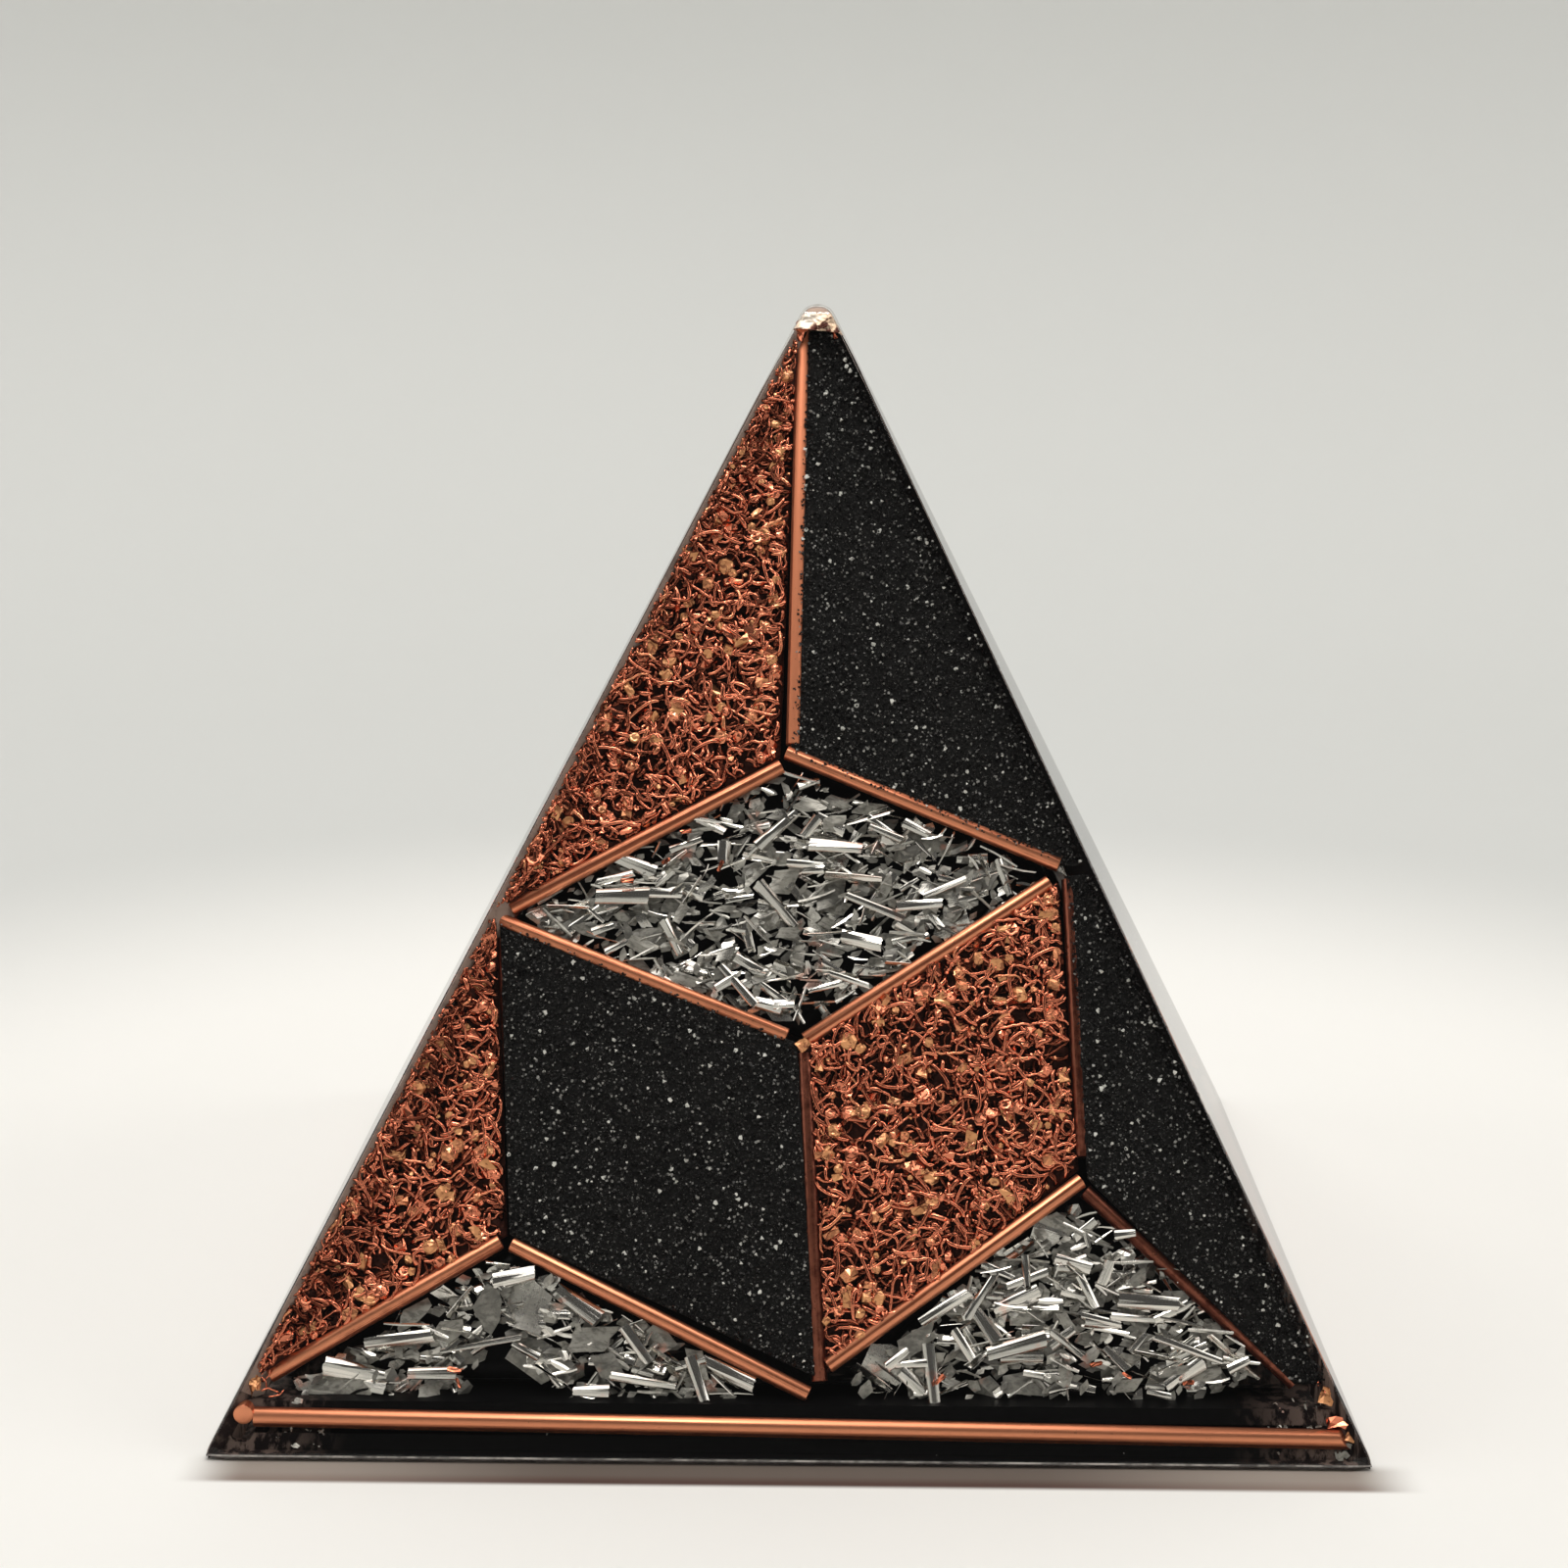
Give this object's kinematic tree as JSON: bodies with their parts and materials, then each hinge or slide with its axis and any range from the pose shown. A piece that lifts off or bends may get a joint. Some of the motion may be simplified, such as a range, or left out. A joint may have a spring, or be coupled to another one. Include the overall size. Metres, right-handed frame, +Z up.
{
  "type": "orgone pyramid",
  "caption": "Clear resin pyramid with a square base, beds of copper granules, black sand and aluminium shavings under each side, parted by copper rods in a cube pattern.",
  "frame": {"origin": "centre of the square base, on the surface it stands on", "axes": "+Z up towards the tip, -Y towards the pictured side, +X to its right"},
  "size_m": [0.1096, 0.1096, 0.1053],
  "materials": {
    "clear_resin": "polished clear casting resin",
    "black_resin": "smooth black casting resin under clear resin",
    "metal_leaf": "crumpled copper-coloured leaf",
    "copper_wire": "bright drawn copper wire",
    "copper_granules": "loose chopped copper wire in resin",
    "black_sand": "fine black sparkling sand in resin",
    "aluminium_shavings": "curled machining chips in resin"
  },
  "bodies": {
    "root": {"back_granules_cube_right": "copper_granules", "back_granules_left": "copper_granules", "back_granules_upper_left": "copper_granules", "back_rod_frame": "copper_wire", "back_sand_cube_left": "black_sand", "back_sand_right": "black_sand", "back_sand_upper_right": "black_sand", "back_shavings_diamond": "aluminium_shavings", "back_shavings_lower_left": "aluminium_shavings", "back_shavings_lower_right": "aluminium_shavings", "base_rod_back": "copper_wire", "base_rod_front": "copper_wire", "base_rod_left": "copper_wire", "base_rod_right": "copper_wire", "black_base_pour": "black_resin", "black_core": "black_resin", "clear_resin_skin": "clear_resin", "front_granules_cube_right": "copper_granules", "front_granules_left": "copper_granules", "front_granules_upper_left": "copper_granules", "front_rod_corner_left": "copper_wire", "front_rod_corner_right": "copper_wire", "front_rod_diamond_left": "copper_wire", "front_rod_diamond_right": "copper_wire", "front_rod_left": "copper_wire", "front_rod_lower_left": "copper_wire", "front_rod_lower_right": "copper_wire", "front_rod_middle": "copper_wire", "front_rod_right": "copper_wire", "front_rod_top": "copper_wire", "front_rod_upper_left": "copper_wire", "front_rod_upper_right": "copper_wire", "front_sand_cube_left": "black_sand", "front_sand_right": "black_sand", "front_sand_upper_right": "black_sand", "front_shavings_diamond": "aluminium_shavings", "front_shavings_lower_left": "aluminium_shavings", "front_shavings_lower_right": "aluminium_shavings", "left_granules_cube_right": "copper_granules", "left_granules_left": "copper_granules", "left_granules_upper_left": "copper_granules", "left_rod_frame": "copper_wire", "left_sand_cube_left": "black_sand", "left_sand_right": "black_sand", "left_sand_upper_right": "black_sand", "left_shavings_diamond": "aluminium_shavings", "left_shavings_lower_left": "aluminium_shavings", "left_shavings_lower_right": "aluminium_shavings", "right_granules_cube_right": "copper_granules", "right_granules_left": "copper_granules", "right_granules_upper_left": "copper_granules", "right_rod_frame": "copper_wire", "right_sand_cube_left": "black_sand", "right_sand_right": "black_sand", "right_sand_upper_right": "black_sand", "right_shavings_diamond": "aluminium_shavings", "right_shavings_lower_left": "aluminium_shavings", "right_shavings_lower_right": "aluminium_shavings", "tip_leaf": "metal_leaf"}
  },
  "joints": []
}
